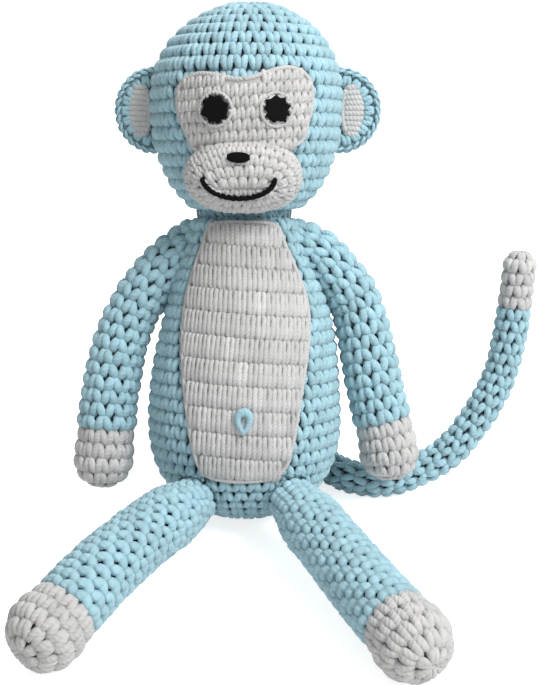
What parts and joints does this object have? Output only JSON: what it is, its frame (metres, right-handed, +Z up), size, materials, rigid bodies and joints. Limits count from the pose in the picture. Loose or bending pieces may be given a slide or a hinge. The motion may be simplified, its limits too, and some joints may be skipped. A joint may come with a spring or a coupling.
{
  "type": "crochet monkey",
  "caption": "Stuffed crochet toy monkey that sits with its legs out, with a white face and belly, turning head, and arms, legs, ears and tail that move at their seams.",
  "frame": {"origin": "on the floor at the middle of the flat under the seat", "axes": "+Z up, the monkey faces -Y, +X to its own left"},
  "size_m": [0.2152, 0.2133, 0.2181],
  "materials": {
    "blue_yarn": "pale aqua blue cotton yarn, single crochet worked in rounds",
    "white_yarn": "off-white cotton yarn, crochet",
    "black_yarn": "black cotton yarn, embroidered",
    "fibre": "loose white fibre filling"
  },
  "bodies": {
    "torso": {"body_cover": "blue_yarn", "body_filling": "fibre", "belly_panel": "white_yarn", "navel": "blue_yarn"},
    "neck": {"neck_seam": "blue_yarn"},
    "head": {"head_cover": "blue_yarn", "head_filling": "fibre", "muzzle_cover": "white_yarn", "muzzle_filling": "fibre", "face_patch": "white_yarn", "eye_left": "black_yarn", "eye_right": "black_yarn", "eye_ring_left": "white_yarn", "eye_ring_right": "white_yarn", "nose": "black_yarn", "mouth": "black_yarn"},
    "ear_left": {"ear_left_outer": "blue_yarn", "ear_left_inner": "white_yarn"},
    "ear_right": {"ear_right_outer": "blue_yarn", "ear_right_inner": "white_yarn"},
    "shoulder_left": {"arm_left_seam": "blue_yarn"},
    "arm_left": {"arm_left_cover": "blue_yarn", "hand_left": "white_yarn", "arm_left_filling": "fibre"},
    "shoulder_right": {"arm_right_seam": "blue_yarn"},
    "arm_right": {"arm_right_cover": "blue_yarn", "hand_right": "white_yarn", "arm_right_filling": "fibre"},
    "hip_left": {"leg_left_seam": "blue_yarn"},
    "leg_left": {"leg_left_cover": "blue_yarn", "foot_left": "white_yarn", "leg_left_filling": "fibre"},
    "hip_right": {"leg_right_seam": "blue_yarn"},
    "leg_right": {"leg_right_cover": "blue_yarn", "foot_right": "white_yarn", "leg_right_filling": "fibre"},
    "rump": {"tail_seam": "blue_yarn"},
    "tail": {"tail_cover": "blue_yarn", "tail_tip": "white_yarn", "tail_filling": "fibre"}
  },
  "joints": [
    {"name": "neck_nod", "type": "hinge", "parent": "torso", "child": "neck", "pos_m": [0, 0.02594, 0.1317], "axis": [1, 0, 0], "range_deg": [-12, 10]},
    {"name": "neck_turn", "type": "hinge", "parent": "neck", "child": "head", "pos_m": [0, 0.02594, 0.1317], "axis": [0, 0.2079, 0.9781], "range_deg": [-75, 75]},
    {"name": "ear_left_fold", "type": "hinge", "parent": "head", "child": "ear_left", "pos_m": [0.0409, 0.03481, 0.17342], "axis": [0, -0.2079, -0.9781], "range_deg": [-10, 25]},
    {"name": "ear_right_fold", "type": "hinge", "parent": "head", "child": "ear_right", "pos_m": [-0.0409, 0.03481, 0.17342], "axis": [0, 0.2079, 0.9781], "range_deg": [-10, 25]},
    {"name": "arm_left_swing", "type": "hinge", "parent": "torso", "child": "shoulder_left", "pos_m": [0.0322, 0.02118, 0.11705], "axis": [-1, 0, 0], "range_deg": [-5, 90]},
    {"name": "arm_left_raise", "type": "hinge", "parent": "shoulder_left", "child": "arm_left", "pos_m": [0.0322, 0.02118, 0.11705], "axis": [0, -1, 0], "range_deg": [0, 80]},
    {"name": "arm_right_swing", "type": "hinge", "parent": "torso", "child": "shoulder_right", "pos_m": [-0.0322, 0.02118, 0.11705], "axis": [-1, 0, 0], "range_deg": [-20, 90]},
    {"name": "arm_right_raise", "type": "hinge", "parent": "shoulder_right", "child": "arm_right", "pos_m": [-0.0322, 0.02118, 0.11705], "axis": [0, 1, 0], "range_deg": [0, 80]},
    {"name": "leg_left_swing", "type": "hinge", "parent": "torso", "child": "hip_left", "pos_m": [0.0216, -0.0436, 0.02512], "axis": [1, 0, 0], "range_deg": [-30, 60]},
    {"name": "leg_left_spread", "type": "hinge", "parent": "hip_left", "child": "leg_left", "pos_m": [0.0216, -0.0436, 0.02512], "axis": [0, 0, 1], "range_deg": [-12, 20]},
    {"name": "leg_right_swing", "type": "hinge", "parent": "torso", "child": "hip_right", "pos_m": [-0.0216, -0.0436, 0.02512], "axis": [1, 0, 0], "range_deg": [-30, 60]},
    {"name": "leg_right_spread", "type": "hinge", "parent": "hip_right", "child": "leg_right", "pos_m": [-0.0216, -0.0436, 0.02512], "axis": [0, 0, -1], "range_deg": [-12, 20]},
    {"name": "tail_swing", "type": "hinge", "parent": "torso", "child": "rump", "pos_m": [0.01417, 0.03563, 0.01915], "axis": [0, 0, 1], "range_deg": [0, 50]},
    {"name": "tail_roll", "type": "hinge", "parent": "rump", "child": "tail", "pos_m": [0.01417, 0.03563, 0.01915], "axis": [0.8119, -0.5426, -0.2152], "range_deg": [-25, 10]}
  ]
}
